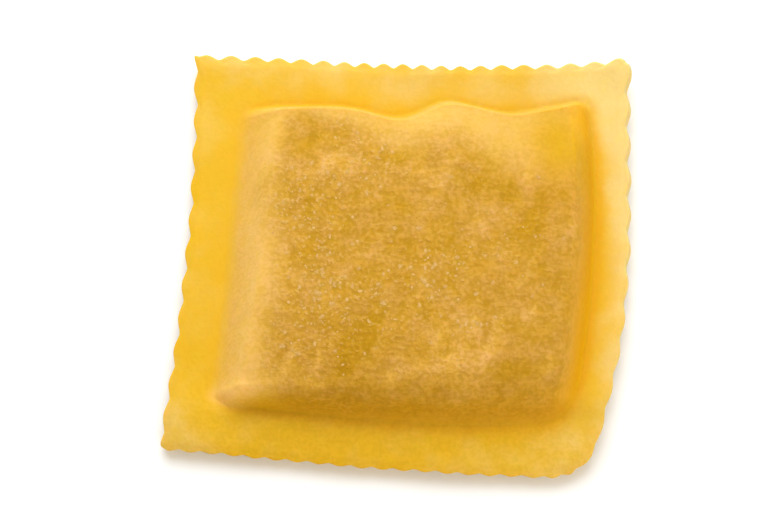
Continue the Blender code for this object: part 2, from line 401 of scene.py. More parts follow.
CUT_CORNERS = millimetres((-25.4, -20.0), (20.1, -23.4), (25.8, 22.8), (-22.2, 23.4))
FILLING_CORNERS = millimetres((-19.8, -15.6), (18.9, -17.3), (21.2, 17.5), (-16.9, 17.6))
BACK_WAVES = (
    Wave(0.8 * MM, 0.6 * MM, 2.4 * MM),
    Wave(8.6 * MM, -0.8 * MM, 3.0 * MM),
    Wave(16.0 * MM, 0.7 * MM, 2.6 * MM),
    Wave(21.0 * MM, -1.3 * MM, 3.8 * MM),
)
FILLING = (
    Side(FILLING_CORNERS[0], FILLING_CORNERS[1], 1.05 * MM, 0.60),
    Side(FILLING_CORNERS[1], FILLING_CORNERS[2], 1.20 * MM, 0.52),
    Side(FILLING_CORNERS[2], FILLING_CORNERS[3], 0.0, 0.50, waves=BACK_WAVES),
    Side(FILLING_CORNERS[3], FILLING_CORNERS[0], -0.25 * MM, 0.60),
)
CUT = Outline(
    (
        Side(
            CUT_CORNERS[0], CUT_CORNERS[1], 0.40 * MM, 0.55,
            20, (0.24 * MM, 0.26 * MM), 0.5, (0.9 * MM, 0.0),
        ),
        Side(CUT_CORNERS[1], CUT_CORNERS[2], 2.3 * MM, 0.40, 12, (0.26 * MM, 0.48 * MM), 0.5),
        Side(
            CUT_CORNERS[2], CUT_CORNERS[3], -0.95 * MM, 0.40,
            20, (0.50 * MM, 0.56 * MM), 0.5, (0.0, 0.9 * MM), 0.022,
        ),
        Side(
            CUT_CORNERS[3], CUT_CORNERS[0], -1.05 * MM, 0.50,
            12, (0.42 * MM, 0.38 * MM), drift=0.010, drift_turns=0.5,
        ),
    ),
    ((1.3 * MM, 1.3 * MM), (5.0 * MM, 4.4 * MM), (1.2 * MM, 1.2 * MM), (0.3 * MM, 0.3 * MM)),
)


@dataclass(frozen=True)
class PastaForm:
    """The shape of the two sheets of dough, as heights over the surface that the piece lies on."""

    rim_thickness: float = 1.7 * MM
    edge_thickness: float = 1.3 * MM
    rim_middle_height: float = 2.0 * MM
    rim_ripple: float = 0.14 * MM
    rim_ripple_length: float = 15.0 * MM
    rim_ripple_slants: Pair = (0.4, 0.3)
    rim_lift_power: float = 1.6
    rim_widths: tuple[float, ...] = (5.1 * MM, 3.9 * MM, 4.8 * MM, 5.1 * MM)
    rim_lifts: Pairs = (
        (-1.0 * MM, -0.8 * MM),
        (0.2 * MM, 0.9 * MM),
        (0.5 * MM, 0.1 * MM),
        (-0.2 * MM, -0.1 * MM),
    )
    pillow_height: float = 5.8 * MM
    crown_share: float = 0.30
    flank_roundings: Four = (2.6, 1.7, 1.35, 1.7)
    flank_feet: Four = (1.5, 1.3, 1.25, 1.7)
    crease_depths: Four = (0.16 * MM, 0.26 * MM, 0.06 * MM, 0.03 * MM)
    crease_width: float = 0.30
    side_blend: float = 2.5 * MM
    lip_height: float = 0.10 * MM
    lip_inset: float = 1.45 * MM
    lip_half_width: float = 0.45 * MM
    lip_end: float = 1.0 * MM
    lip_fade: float = 3.0 * MM
    soft_spot: float = 3.8 * MM
    soft_spot_half_length: float = 3.0 * MM
    softness: float = 0.85
    flute_fade: float = 0.3
    edge_taper: float = 0.25
    flank: Slope = Slope(
        FILLING, millimetres((1.8, 5.2), (2.8, 2.5), (1.5, 1.5), (4.8, 3.7)), (1.0, 1.25, 1.0, 1.2)
    )
    crown: Slope = Slope(
        FILLING, millimetres((11, 11), (11.5, 11.5), (10, 10), (16, 16)), (1.0, 1.0, 1.0, 1.0)
    )
    belly: Slope = Slope(FILLING, millimetres(*[(5.6, 5.6)] * 4), (1.4, 1.4, 1.4, 1.4))
    hollows: tuple[Hollow, ...] = hollows(
        (17.6, 12.0, 2.2, 4.2, 0.1, 0.45 * MM),
        (-8.6, 13.4, 3.4, 1.7, -0.5, 0.30 * MM),
        (0.0, 13.0, 2.6, 3.0, 0.0, 0.40 * MM),
        (10.5, -6.5, 4.0, 2.2, 1.3, 0.28 * MM),
        (-3.0, -7.5, 5.0, 2.6, 0.5, 0.25 * MM),
        (-12.0, -2.0, 3.0, 6.0, 0.2, -0.25 * MM),
        (3.8, 16.4, 3.0, 1.8, 0.0, 0.80 * MM),
    )

    def by_side(self, places: Places, values: tuple[float | Values, ...]) -> Values:
        """Blends four values, one for each side, by how near each place is to the sides.

        Args:
            places: Plan points.
            values: What holds along the front, the right, the back and the left: a value, or one a place.

        Returns:
            The blended value at each place.
        """
        gaps = np.stack([side.distances_inside(places) for side in FILLING])
        weights = np.exp((gaps.min(axis=0) - gaps) / self.side_blend)
        held = np.stack([np.broadcast_to(value, len(places)) for value in values])
        return (weights * held).sum(axis=0) / weights.sum(axis=0)

    def seam_heights(self, places: Places) -> Values:
        """The height of the seam between the sheets, which lifts and ripples towards the cut.

        Args:
            places: Plan points.

        Returns:
            A height for each place.
        """
        height = np.full(len(places), self.rim_middle_height)
        furthest = np.zeros(len(places))
        for side, width, lifts in zip(FILLING, self.rim_widths, self.rim_lifts):
            out = np.maximum(-side.distances_inside(places) / width, 0.0)
            height += span(lifts, ease(side.shares_beside(places))) * out**self.rim_lift_power
            furthest = np.maximum(furthest, out)
        turn = math.tau / self.rim_ripple_length
        x, y = places[:, 0], places[:, 1]
        over, back = self.rim_ripple_slants
        ripple = np.sin(turn * (x + over * y)) * np.cos(turn * (y - back * x))
        return height + self.rim_ripple * np.minimum(furthest, 1.0) * ripple

    def pinch(self, places: Places) -> Values:
        """How sharply the pillow's back is pinched: 1, but for a spot where it runs softly to the rim."""
        return 1.0 - self.softness * bell((places[:, 0] - self.soft_spot) / self.soft_spot_half_length)

    def lips(self, places: Places) -> Values:
        """How much of the raised lip there is along the pillow's back.

        Args:
            places: Plan points.

        Returns:
            A share of its height at each place.
        """
        right, back, left = (FILLING[edge] for edge in (Edge.RIGHT, Edge.BACK, Edge.LEFT))
        lip = bell((back.distances_inside(places) - self.lip_inset) / self.lip_half_width)
        for side in (right, left):
            lip = lip * rise(side.distances_inside(places), self.lip_end, self.lip_fade)
        return lip * self.pinch(places)

    def half_thickness(self, rim_share: float) -> float:
        """Half the rim's thickness, which is pressed thinner towards the cut."""
        taper = float(ease(np.array(rim_share / self.edge_taper)))
        return span((self.edge_thickness, self.rim_thickness), taper) / 2

    def upper_heights(self, places: Places, rim_share: float) -> Values:
        """The heights of the upper sheet.

        Args:
            places: Plan points.
            rim_share: The share of the rim's width that they lie in from the cut.

        Returns:
            A height for each place.
        """
        steps = self.flank.steps(places)
        rounding = self.by_side(places, self.flank_roundings)
        foot = self.by_side(places, self.flank_feet)
        flank = (1.0 - (1.0 - np.clip(steps, 0.0, 1.0)) ** rounding) ** foot
        crown = 1.0 - (1.0 - np.maximum(self.crown.steps(places), 0.0)) ** 2
        pillow = self.pillow_height * ((1.0 - self.crown_share) * flank + self.crown_share * crown)
        crease = self.by_side(places, self.crease_depths) * bell(steps / self.crease_width)
        hollows = sum(hollow.depths(places) for hollow in self.hollows) * ease(steps)
        top = self.seam_heights(places) + self.half_thickness(rim_share) + pillow
        return top + self.lip_height * self.lips(places) - crease - hollows

    def lower_heights(self, places: Places, rim_share: float) -> Values:
        """The heights of the lower sheet, whose shallow belly is flat where it rests."""
        belly = ease(self.belly.steps(places))
        return (self.seam_heights(places) - self.half_thickness(rim_share)) * (1.0 - belly)

    def lean(self, places: Places, step: float = 0.05 * MM) -> Places:
        """How far the seam rises along X and along Y, for each unit of the way, measured over a step."""
        moved = [self.seam_heights(places + way) for way in np.array(((step, 0.0), (0.0, step)))]
        return np.stack([(there - self.seam_heights(places)) / step for there in moved], axis=1)


class MeshDraft:
    """Vertices and faces gathered before they become a mesh."""

    def __init__(self) -> None:
        """Starts an empty draft."""
        self.points: list[Points] = []
        self.faces: list[list[int]] = []
        self.count = 0

    def add(self, points: Points) -> np.ndarray:
        """Adds vertices.

        Args:
            points: Where they are.

        Returns:
            Their numbers.
        """
        numbers = np.arange(self.count, self.count + len(points))
        self.points.append(points)
        self.count += len(points)
        return numbers

    def add_faces(self, faces: np.ndarray, upward: bool) -> None:
        """Adds faces, turned over unless they look upward."""
        self.faces.extend((faces if upward else faces[:, ::-1]).tolist())

    def join(self, outer: np.ndarray, inner: np.ndarray, upward: bool) -> None:
        """Joins two rings of as many vertices, or an outer ring to one of half as many.

        Args:
            outer: The outer ring's vertices.
            inner: The inner ring's vertices.
            upward: Whether the faces look up when the outer ring is walked anticlockwise.
        """
        after = np.roll(inner, -1)
        if len(outer) == len(inner):
            self.add_faces(np.stack([outer, np.roll(outer, -1), after, inner], axis=1), upward)
            return
        first, middle, last = outer[::2], outer[1::2], np.roll(outer, -2)[::2]
        self.add_faces(np.stack([first, middle, inner], axis=1), upward)
        self.add_faces(np.stack([middle, after, inner], axis=1), upward)
        self.add_faces(np.stack([middle, last, after], axis=1), upward)

    def add_grid(self, grid: np.ndarray, upward: bool) -> None:
        """Adds the faces of a grid of vertices' numbers, which look up or down."""
        corners = [grid[:-1, :-1], grid[:-1, 1:], grid[1:, 1:], grid[1:, :-1]]
        self.add_faces(np.stack(corners, axis=-1).reshape(-1, 4), upward)

    def mesh(self, name: str) -> bpy.types.Mesh:
        """Turns the draft into a smooth mesh.

        Args:
            name: The mesh's name.

        Returns:
            The mesh.
        """
        data = bpy.data.meshes.new(name)
        data.from_pydata(np.concatenate(self.points).tolist(), [], self.faces)
        data.update()
        data.shade_smooth()
        return data


def four_edges(ring: np.ndarray, columns: int, rows: int) -> list[np.ndarray]:
    """Splits a ring into the edges of a grid.

    Args:
        ring: The ring's points or numbers, walked from its front left corner.
        columns: Steps along its front and back.
        rows: Steps along its right and left.

    Returns:
        The front, right, back and left edges, each from the left or from the front.
    """
    closed = np.concatenate([ring, ring[:1]])
    ends = np.cumsum([0, columns, rows, columns, rows])
    front, right, back, left = (closed[start : end + 1] for start, end in zip(ends, ends[1:]))
    return [front, right, back[::-1], left[::-1]]


def fill_places(ring: Places, columns: int, rows: int) -> Places:
    """Plan points that run evenly between the four sides of a ring.

    Args:
        ring: The ring's points.
        columns: Steps along its front and back.
        rows: Steps along its right and left.

    Returns:
        An array of rows + 1 by columns + 1 points, the ring's own included.
    """
    front, right, back, left = four_edges(ring, columns, rows)
    over = (np.arange(columns + 1) / columns)[None, :, None]
    up = (np.arange(rows + 1) / rows)[:, None, None]
    across = left[:, None] * (1 - over) + right[:, None] * over
    along = front[None] * (1 - up) + back[None] * up
    corners = (front[0] * (1 - over) + front[-1] * over) * (1 - up)
    return across + along - (corners + (back[0] * (1 - over) + back[-1] * over) * up)


@dataclass(frozen=True)
class Grain:
    """A noise in a colour: the size of its lumps, its finer layers, how far it strays and how it shows."""

    size: float
    detail: float
    stray: float
    strength: float
    stretch: Triple = (1.0, 1.0, 1.0)


class NodeSheet:
    """Builds a material's nodes."""

    # Where a mixing node has its factor, its two colours and its mixed colour
    MIX_FACTOR, MIX_FIRST, MIX_SECOND, MIX_RESULT = 0, 6, 7, 2

    def __init__(self, name: str) -> None:
        """Starts a material with its shader.

        Args:
            name: The material's name.
        """
        self.material = bpy.data.materials.new(name)
        self.material.use_nodes = True
        self.tree = self.material.node_tree
        self.shader = self.tree.nodes["Principled BSDF"]
        self.place = self.tree.nodes.new("ShaderNodeTexCoord").outputs["Object"]

    def feed(self, node: bpy.types.Node, inputs: dict[str | int, Given]) -> None:
        """Links a node's inputs to other sockets, or sets them.

        Args:
            node: The node.
            inputs: A socket, a number, a colour or a vector for each input, by its name or number.
        """
        for name, given in inputs.items():
            socket = node.inputs[name]
            if isinstance(given, Socket):
                self.tree.links.new(given, socket)
            else:
                socket.default_value = (*given, 1.0) if socket.type == "RGBA" else given

    def add(self, kind: str, output: str | int, inputs: dict[str | int, Given], **settings: str) -> Socket:
        """Adds a node.

        Args:
            kind: Its kind, without the prefix that all kinds share.
            output: The name or number of the output that is wanted.
            inputs: What goes into its inputs.
            settings: Its settings.

        Returns:
            The output.
        """
        node = self.tree.nodes.new(f"ShaderNode{kind}")
        for name, value in settings.items():
            setattr(node, name, value)
        self.feed(node, inputs)
        return node.outputs[output]

    def finished(self, inputs: dict[str | int, Given]) -> bpy.types.Material:
        """Feeds the shader, and gives the material."""
        self.feed(self.shader, inputs)
        return self.material

    def measure(self, name: str) -> Socket:
        """Reads a value that is stored on the mesh."""
        return self.add("Attribute", "Fac", {}, attribute_name=name)

    def noise(self, size: float, detail: float, stretch: Triple = (1.0, 1.0, 1.0)) -> Socket:
        """A noise around 0.5, drawn out along an axis where the stretch is small."""
        place = self.add("Mapping", "Vector", {"Vector": self.place, "Scale": stretch})
        return self.add("TexNoise", "Fac", {"Vector": place, "Scale": 1.0 / size, "Detail": detail})

    def grain(self, grain: Grain) -> Socket:
        """A noise around 0, which reaches the grain's strength either way."""
        value = self.noise(grain.size, grain.detail, grain.stretch)
        return self.between(value, 0.5 - grain.stray, 0.5 + grain.stray, -grain.strength, grain.strength)

    def spots(self, spacing: float) -> Socket:
        """The distance to the nearest of many scattered points, as a share of their spacing."""
        return self.add("TexVoronoi", "Distance", {"Vector": self.place, "Scale": 1.0 / spacing})

    def between(
        self, value: Socket, low: float, high: float, start: float = 0.0, end: float = 1.0
    ) -> Socket:
        """Maps the range from low to high smoothly onto the one from start to end."""
        inputs = {"Value": value, "From Min": low, "From Max": high, "To Min": start, "To Max": end}
        return self.add("MapRange", "Result", inputs, interpolation_type="SMOOTHSTEP")

    def combine(self, operation: str, *values: Socket | float) -> Socket:
        """Works out a sum or a product of several values, by the operation's name."""
        add = partial(self.add, "Math", "Value", operation=operation)
        return reduce(lambda one, other: add({0: one, 1: other}), values)

    def colour(
        self, first: Socket | Triple, second: Socket | Triple, share: Socket, blend: str = "MIX"
    ) -> Socket:
        """Mixes two colours, by the share of the second."""
        inputs = {self.MIX_FACTOR: share, self.MIX_FIRST: first, self.MIX_SECOND: second}
        return self.add("Mix", self.MIX_RESULT, inputs, data_type="RGBA", blend_type=blend)

    def bump(self, height: Socket, distance: float) -> Socket:
        """Turns a height into a bent normal. The distance is how high 1 is."""
        return self.add("Bump", "Normal", {"Height": height, "Distance": distance})


@dataclass(frozen=True)
class DoughFinish:
    """Fresh egg dough: smooth and glowing on the rim, dull and floury over the filling."""

    rim: Triple = (0.71, 0.42, 0.014)
    # Partly painted light: the rim is paler where it is pressed thinner and where light shines through it.
    rim_pale: Triple = (0.74, 0.54, 0.175)
    rim_pale_range: Pair = (-0.05, 1.0)
    stretched: Triple = (0.73, 0.435, 0.100)
    # Painted shade: the right flank's copy is darker, as it faces away from the light; the back's copy is
    # darker to tone down the light it catches.
    stretched_right_painted_shade: Triple = (0.60, 0.290, 0.030)
    stretched_back_painted_shade: Triple = (0.69, 0.410, 0.076)
    bare: Triple = (0.62, 0.345, 0.008)
    floury: Triple = (0.535, 0.285, 0.033)
    # Painted shade and highlight: the floury skin goes darker in its dents and paler on its bumps, with
    # random tone mixed in.
    hollow: Triple = (0.49, 0.255, 0.010)
    hollow_painted_shade_range: Pair = (-0.05, -0.75)
    raised: Triple = (0.65, 0.365, 0.070)
    raised_painted_highlight_range: Pair = (0.0, 0.8)
    # Painted light: a very bright patch that lifts the shaded slope at the pillow's front left corner.
    foot: Triple = (0.95, 0.59, 0.170)
    # Painted light: a bright orange patch on the shaded top of the right flank.
    painted_glow: Triple = (0.84, 0.43, 0.012)
    # Partly painted shade and bounced light: a deep orange along the crease, partly where the dough lies
    # thicker.
    crease: Triple = (0.74, 0.375, 0.004)
    # Painted shade, multiplied over the front flank and crease where they face away from the light.
    painted_front_shade: Triple = (0.80, 0.73, 0.02)
    cloudy: Grain = Grain(4.0 * MM, 3.0, 0.20, 0.15)
    sandy: Grain = Grain(0.44 * MM, 1.0, 0.22, 0.60)
    mottled: Grain = Grain(1.3 * MM, 2.0, 0.20, 0.45)
    rolled: Grain = Grain(0.50 * MM, 2.0, 0.20, 0.20, (0.14, 1.0, 1.0))
    grit_dark: Triple = (0.90, 0.89, 0.60)
    grit_pale: Triple = (1.10, 1.11, 1.44)
    patch_size: float = 1.9 * MM
    patch_range: Pair = (0.32, 0.68)
    patch_yellow: Triple = (1.0, 1.0, 0.76)
    patch_peach: Triple = (1.0, 1.0, 1.26)
    flour: Triple = (0.68, 0.42, 0.13)
    flour_share: float = 0.6
    powder_spacing: float = 0.5 * MM
    powder_range: Pair = (0.36, 0.12)
    powdery: Grain = Grain(0.44 * MM, 1.0, 0.20, -0.18)
    roughness: Pair = (0.48, 0.80)
    shine: float = 0.09
    scatter: float = 0.6
    scatter_depth: float = 0.9 * MM
    scatter_colours: Triple = (1.0, 0.52, 0.14)
    grain_height: float = 0.05 * MM

    def material(self) -> bpy.types.Material:
        """Makes the dough's material.

        Returns:
            The material.
        """
        sheet = NodeSheet("egg_dough")
        mask = {name: sheet.measure(name) for name in (*MASKS, "relief")}
        cloudy = sheet.grain(self.cloudy)
        # Paleness of the rim: partly painted light shining through, with a random cloudiness.
        paleness = sheet.combine("ADD", mask["thin"], cloudy)
        rim = sheet.colour(self.rim, self.rim_pale, sheet.between(paleness, *self.rim_pale_range))
        # Painted shade: the flanks take darker copies on the right and on the back, by how the light falls.
        sides = sheet.colour(self.stretched, self.stretched_right_painted_shade, mask["right"])
        ridge = sheet.colour(sides, self.stretched_back_painted_shade, mask["back"])
        skin = sheet.colour(sheet.colour(rim, ridge, mask["pillow"]), self.bare, mask["bare"])
        # Painted shade in the dents and painted highlight on the bumps, from the relief and a random
        # cloudiness.
        lifted = sheet.combine("ADD", mask["relief"], cloudy)
        low = sheet.colour(self.floury, self.hollow, sheet.between(lifted, *self.hollow_painted_shade_range))
        high = sheet.colour(low, self.raised, sheet.between(lifted, *self.raised_painted_highlight_range))
        colour = sheet.colour(skin, high, mask["floury"])
        for name, patch, blend in (
            # painted light on the shaded front left corner
            ("foot", self.foot, "MIX"),
            # painted light on the top of the right flank
            ("painted_glow", self.painted_glow, "MIX"),
            # partly painted shade and bounced light along the crease
            ("crease", self.crease, "MIX"),
            # painted shade along the front
            ("painted_front_shade", self.painted_front_shade, "MULTIPLY"),
        ):
            colour = sheet.colour(colour, patch, mask[name], blend)

        patches = sheet.between(sheet.noise(self.patch_size, detail=1.0), *self.patch_range)
        peachy = sheet.colour(self.patch_yellow, self.patch_peach, patches)
        grain = sheet.combine("ADD", *(sheet.grain(one) for one in (self.sandy, self.mottled, self.rolled)))
        tint = sheet.colour(self.grit_dark, self.grit_pale, sheet.between(grain, -1.0, 1.0))
        for speckled in (peachy, tint):
            colour = sheet.colour(colour, speckled, mask["grit"], "MULTIPLY")

        powder = sheet.combine("ADD", sheet.spots(self.powder_spacing), sheet.grain(self.powdery))
        dust = sheet.combine("MULTIPLY", sheet.between(powder, *self.powder_range), mask["dusting"])
        bumps = sheet.combine("MULTIPLY", sheet.combine("ADD", grain, dust), mask["grit"])
        return sheet.finished(
            {
                "Base Color": sheet.colour(
                    colour, self.flour, sheet.combine("MULTIPLY", dust, self.flour_share)
                ),
                "Roughness": sheet.between(mask["floury"], 0.0, 1.0, *self.roughness),
                "Normal": sheet.bump(bumps, self.grain_height),
                "Subsurface Weight": self.scatter,
                "Subsurface Radius": self.scatter_colours,
                "Subsurface Scale": self.scatter_depth,
                "Specular IOR Level": self.shine,
            }
        )


@dataclass(frozen=True)
class SkinRelief:
    """The small unevenness of the upper sheet over the filling, and the faint cloudiness of the rim."""

    depth: float = 0.16 * MM
    sunk: float = 0.15 * MM
    lumps: Cloud = Cloud((4.5, 4.5, 6.0), 3.1)
    folds: Cloud = Cloud((1.5, 3.6, 3.0), 7.7)
    grain: Cloud = Cloud((0.75, 0.75, 0.75), 1.3)
    rolled: Cloud = Cloud((4.5, 0.6, 1.0), 5.9)
    cloudy: Cloud = Cloud((7.0, 7.0, 7.0), 9.2)
    slant: float = 0.5
    lump_share: float = 0.3
    fine_shares: Triple = (0.25, 0.12, 0.08)
    smooth_share: float = 0.3
    dent_share: float = 0.6
    rim_fold_share: float = 0.06
    dents: tuple[Hollow, ...] = hollows(
        (-4.4, -10.6, 3.8, 1.3, 1.05, 1.6),
        (-13.0, -9.1, 1.8, 1.0, 0.9, 0.5),
        (-11.2, -11.1, 2.0, 0.5, 1.05, -1.1),
        (-8.3, -11.7, 1.8, 0.5, 1.4, -1.1),
        (5.7, -12.0, 5.2, 1.0, 0.2, -1.4),
        (9.3, -7.9, 1.8, 0.5, 1.5, 1.2),
        (11.9, -8.5, 1.8, 0.5, 1.65, 1.2),
        (13.0, -13.0, 1.5, 1.0, 0.3, 0.9),
        (8.8, 7.4, 2.4, 0.9, 1.0, 1.1),
        (12.4, 7.2, 2.2, 0.6, 1.2, 0.9),
        (15.3, 3.6, 3.0, 2.4, 1.4, 1.1),
        (12.2, 4.3, 2.2, 0.9, 0.3, -1.0),
        (13.2, 1.8, 2.2, 0.8, 0.2, 0.9),
        (14.1, 10.0, 4.2, 1.1, 1.5, -0.7),
        (-5.7, 2.2, 2.8, 0.7, 1.3, 0.9),
        (0.2, 10.2, 3.2, 1.0, 0.0, 0.8),
        (-9.0, 12.0, 2.2, 1.1, -0.3, 1.2),
        (-7.5, 9.6, 1.4, 0.8, 1.5, -0.8),
        (-11.8, 5.0, 2.2, 2.0, 0.0, 0.8),
        (-6.2, -4.0, 2.0, 0.5, 1.4, -0.6),
        (-1.2, -3.5, 2.0, 0.5, 1.6, -0.6),
        (2.2, -4.0, 1.8, 0.5, 1.5, -0.6),
        (7.2, -3.6, 1.8, 0.5, 1.4, -0.6),
    )

    def heights(self, points: Points, pillow: Values, floury: Values) -> Values:
        """How far the skin stands out or in, as a share of the depth.

        Args:
            points: The vertices.
            pillow: How much of the pillow there is at each.
            floury: How floury it is there. Its other parts are smoother.

        Returns:
            A value for each vertex, mostly from -1.5 to 1.
        """
        slanted = points.copy()
        slanted[:, 0] -= self.slant * points[:, 1]
        slanted[:, 1] += self.slant * points[:, 0]
        folds = self.folds.values(slanted)
        kinds = (folds, self.grain.values(points), self.rolled.values(points))
        fine = sum(share * kind for share, kind in zip(self.fine_shares, kinds))
        dents = sum(dent.depths(points[:, :2]) for dent in self.dents)
        on_pillow = self.lump_share * self.lumps.values(points) - self.dent_share * dents
        on_pillow += fine * span((self.smooth_share, 1.0), floury)
        on_rim = self.lump_share * self.cloudy.values(points) + self.rim_fold_share * folds
        return on_pillow * pillow + on_rim * (1.0 - pillow)


def read_vertices(data: bpy.types.Mesh, name: str) -> Points:
    """Reads the places or the normals of a mesh's vertices.

    Args:
        data: The mesh.
        name: Which of the two, as Blender calls it.

    Returns:
        A row of three numbers for each vertex.
    """
    values = np.empty(len(data.vertices) * 3)
    data.vertices.foreach_get(name, values)
    return values.reshape(-1, 3)


def place_mesh(name: str, data: bpy.types.Mesh, material: bpy.types.Material) -> bpy.types.Object:
    """Puts a mesh into the scene.

    Args:
        name: The object's name.
        data: The mesh.
        material: What it is made of.

    Returns:
        The object.
    """
    data.materials.append(material)
    piece = bpy.data.objects.new(name, data)
    bpy.context.scene.collection.objects.link(piece)
    return piece


@dataclass
class RavioliBody:
    """Both sheets of dough and the fluted cut between them, as one closed skin."""

    form: PastaForm = field(default_factory=PastaForm)
    skin: SkinRelief = field(default_factory=SkinRelief)
    finish: DoughFinish = field(default_factory=DoughFinish)
    long_steps: int = 184
    short_steps: int = 144
    rim_rings: int = 26
    flank_rings: int = 22
    shoulder_rings: int = 8
    edge_inset: float = 0.016
    shoulder_steps: float = 1.2
    innermost_steps: float = 1.8
    under_edge_inset: float = 0.03
    under_rim_start: float = 0.05
    under_rim_rings: int = 14
    under_belly_rings: int = 14
    belly_steps: float = 1.1
    resting_reach: float = 1.0 * MM
    cut_profile: Pairs = (
        (0.80, -0.03),
        (0.50, 0.00),
        (0.18, -0.01),
        (0.00, -0.06),
        (-0.18, -0.01),
        (-0.50, 0.00),
        (-0.80, -0.03),
    )
    # How strongly, side by side, and how widely the crease colour, partly painted shade and bounced light, is
    # laid.
    crease_shade_strengths: Pairs = ((0.5, 0.5), (1.0, 0.5), (0.0, 0.7), (0.15, 0.15))
    crease_shade_widths: Pair = (0.55, 0.24)
    # How pale the rim is, partly painted light shining through it: side by side, near the back and right, and
    # at three corners.
    thin_rims: Pairs = ((0.0, 0.1), (0.55, 1.0), (0.33, 0.42), (0.14, 0.10))
    pale_corners: tuple[tuple[Edge, float, float], ...] = (
        (Edge.FRONT, 0.45, 6.0 * MM),
        (Edge.RIGHT, 0.34, 7.5 * MM),
        (Edge.BACK, 0.95, 7.2 * MM),
    )
    back_paleness: float = 0.60
    right_paleness: float = 0.16
    # Where the right flank's painted shade fades out towards its back end.
    right_shade_end: Pair = (0.93, 0.07)
    # Where the painted shade along the front lies, how wide it is and how it fades.
    painted_shade_inset: float = 0.8 * MM
    painted_shade_half_width: float = 1.4 * MM
    painted_shade_retreat: float = 1.3 * MM
    painted_shade_narrowing: float = 0.6
    painted_shade_rise: float = 0.16
    painted_shade_far_share: float = 0.5
    painted_shade_front_share: float = 0.35
    front_reach: float = 13.0 * MM
    painted_shade_corner_range: Pair = (-0.02, 0.3)
    skin_softness: float = 0.4 * MM
    pillow_start: Pair = (-0.1, 0.4)
    painted_light_foot_start: Pair = (-0.3, 0.4)
    rim_grit: Four = (0.45, 0.15, 0.15, 0.15)
    smooth_grit: float = 0.35
    uneven: Cloud = Cloud((5.0, 5.0, 5.0), 21.0)
    uneven_reach: float = 0.8 * MM
    advance_reach: float = 1.7 * MM
    floury_starts: Pairs = millimetres((-0.6, -0.6), (1.2, 1.2), (4.0, 0.0), (3.2, 3.2))
    floury_widths: Pairs = millimetres((0.8, 0.8), (2.0, 2.0), (8.0, 2.6), (3.8, 4.4))
    dusting: Cloud = Cloud((8.0, 8.0, 8.0), 12.4)
    dusting_shares: Pair = (0.55, 0.5)
    dusting_ends: Pair = (1.15, 0.40)
    front_dusting: float = 0.35
    # Where painted light lifts the shaded front left corner of the pillow.
    foot: Hollow = hollow(-17.6, -14.8, 3.6, 1.1, 0.0, 1.0)
    # Where painted light brightens the shaded top of the right flank.
    painted_glow: Hollow = hollow(20.3, 15.2, 1.4, 3.0, 0.1, 1.0)
    advance: Hollow = hollow(-15.5, 5.0, 5.0, 5.0, 0.0, 1.0)
    # Partly painted light: flour is kept off here so the paler skin lifts the shaded front left corner.
    drawn: Hollow = hollow(-16.4, -14.6, 4.6, 2.6, 0.0, 1.0)
    bare: Hollow = hollow(17.8, 12.2, 4.2, 5.2, 0.15, 1.0)

    def rim_ring(self, rim_share: float, thinning: int = 1) -> Ring:
        """A ring a share of the way from the cut to the crease.

        Args:
            rim_share: The share.
            thinning: Takes only one in so many of the steps.

        Returns:
            The ring.
        """
        steps = self.long_steps // thinning, self.short_steps // thinning
        cut = CUT.walk(*steps)
        fluting = 1.0 - float(ease(np.array(rim_share / self.form.flute_fade)))
        outer = cut.places - cut.outward * (cut.valleys * fluting)[:, None]
        inner = self.form.flank.ring(0.0, *steps).places
        return Ring(outer + (inner - outer) * rim_share, cut.outward, cut.valleys, rim_share)

    def raised(self, ring: Ring, upper: bool) -> Points:
        """Lifts a ring onto one of the sheets, square to the seam where that leans.

        Args:
            ring: The ring.
            upper: Whether it goes onto the upper sheet.

        Returns:
            The points.
        """
        heights = self.form.upper_heights if upper else self.form.lower_heights
        level = heights(ring.places, ring.rim_share)
        offset = self.form.half_thickness(ring.rim_share) * (1.0 if upper else -1.0)
        fade = 1.0 - float(ease(np.array(ring.rim_share)))
        leaning = ring.places - self.form.lean(ring.places) * offset * fade
        return np.column_stack([leaning, level])

    def cut_rings(self) -> list[Points]:
        """The rings of the cut face, with the seam of the two sheets.

        Returns:
            The rings' points, from the upper edge to the lower.
        """
        ring = self.rim_ring(0.0)
        upper, lower = self.raised(ring, True), self.raised(ring, False)
        middle, half = (upper + lower) / 2, (upper - lower) / 2
        outward = np.column_stack([ring.outward, np.zeros(len(ring.outward))])
        return [middle + half * height + outward * bulge * MM for height, bulge in self.cut_profile]

    def draft_mesh(self) -> bpy.types.Mesh:
        """Drafts the skin and makes it a mesh.

        Returns:
            The mesh, before its fine relief.
        """
        draft = MeshDraft()
        flank = self.form.flank
        full = self.long_steps, self.short_steps
        half = self.long_steps // 2, self.short_steps // 2
        shoulder = np.linspace(self.shoulder_steps, self.innermost_steps, self.shoulder_rings)
        upper = [self.rim_ring(share) for share in np.linspace(self.edge_inset, 1.0, self.rim_rings)]
        rising = np.linspace(0.0, self.shoulder_steps, self.flank_rings)
        upper += [flank.ring(steps, *full) for steps in (*rising[1:], *shoulder[1:])]
        lower = [self.rim_ring(share) for share in (self.edge_inset, self.under_edge_inset)]
        under = np.linspace(self.under_rim_start, 1.0, self.under_rim_rings)
        lower += [self.rim_ring(share, 2) for share in under]
        sinking = np.linspace(0.0, self.belly_steps, self.under_belly_rings)
        lower += [self.form.belly.ring(steps, *half) for steps in sinking[1:]]

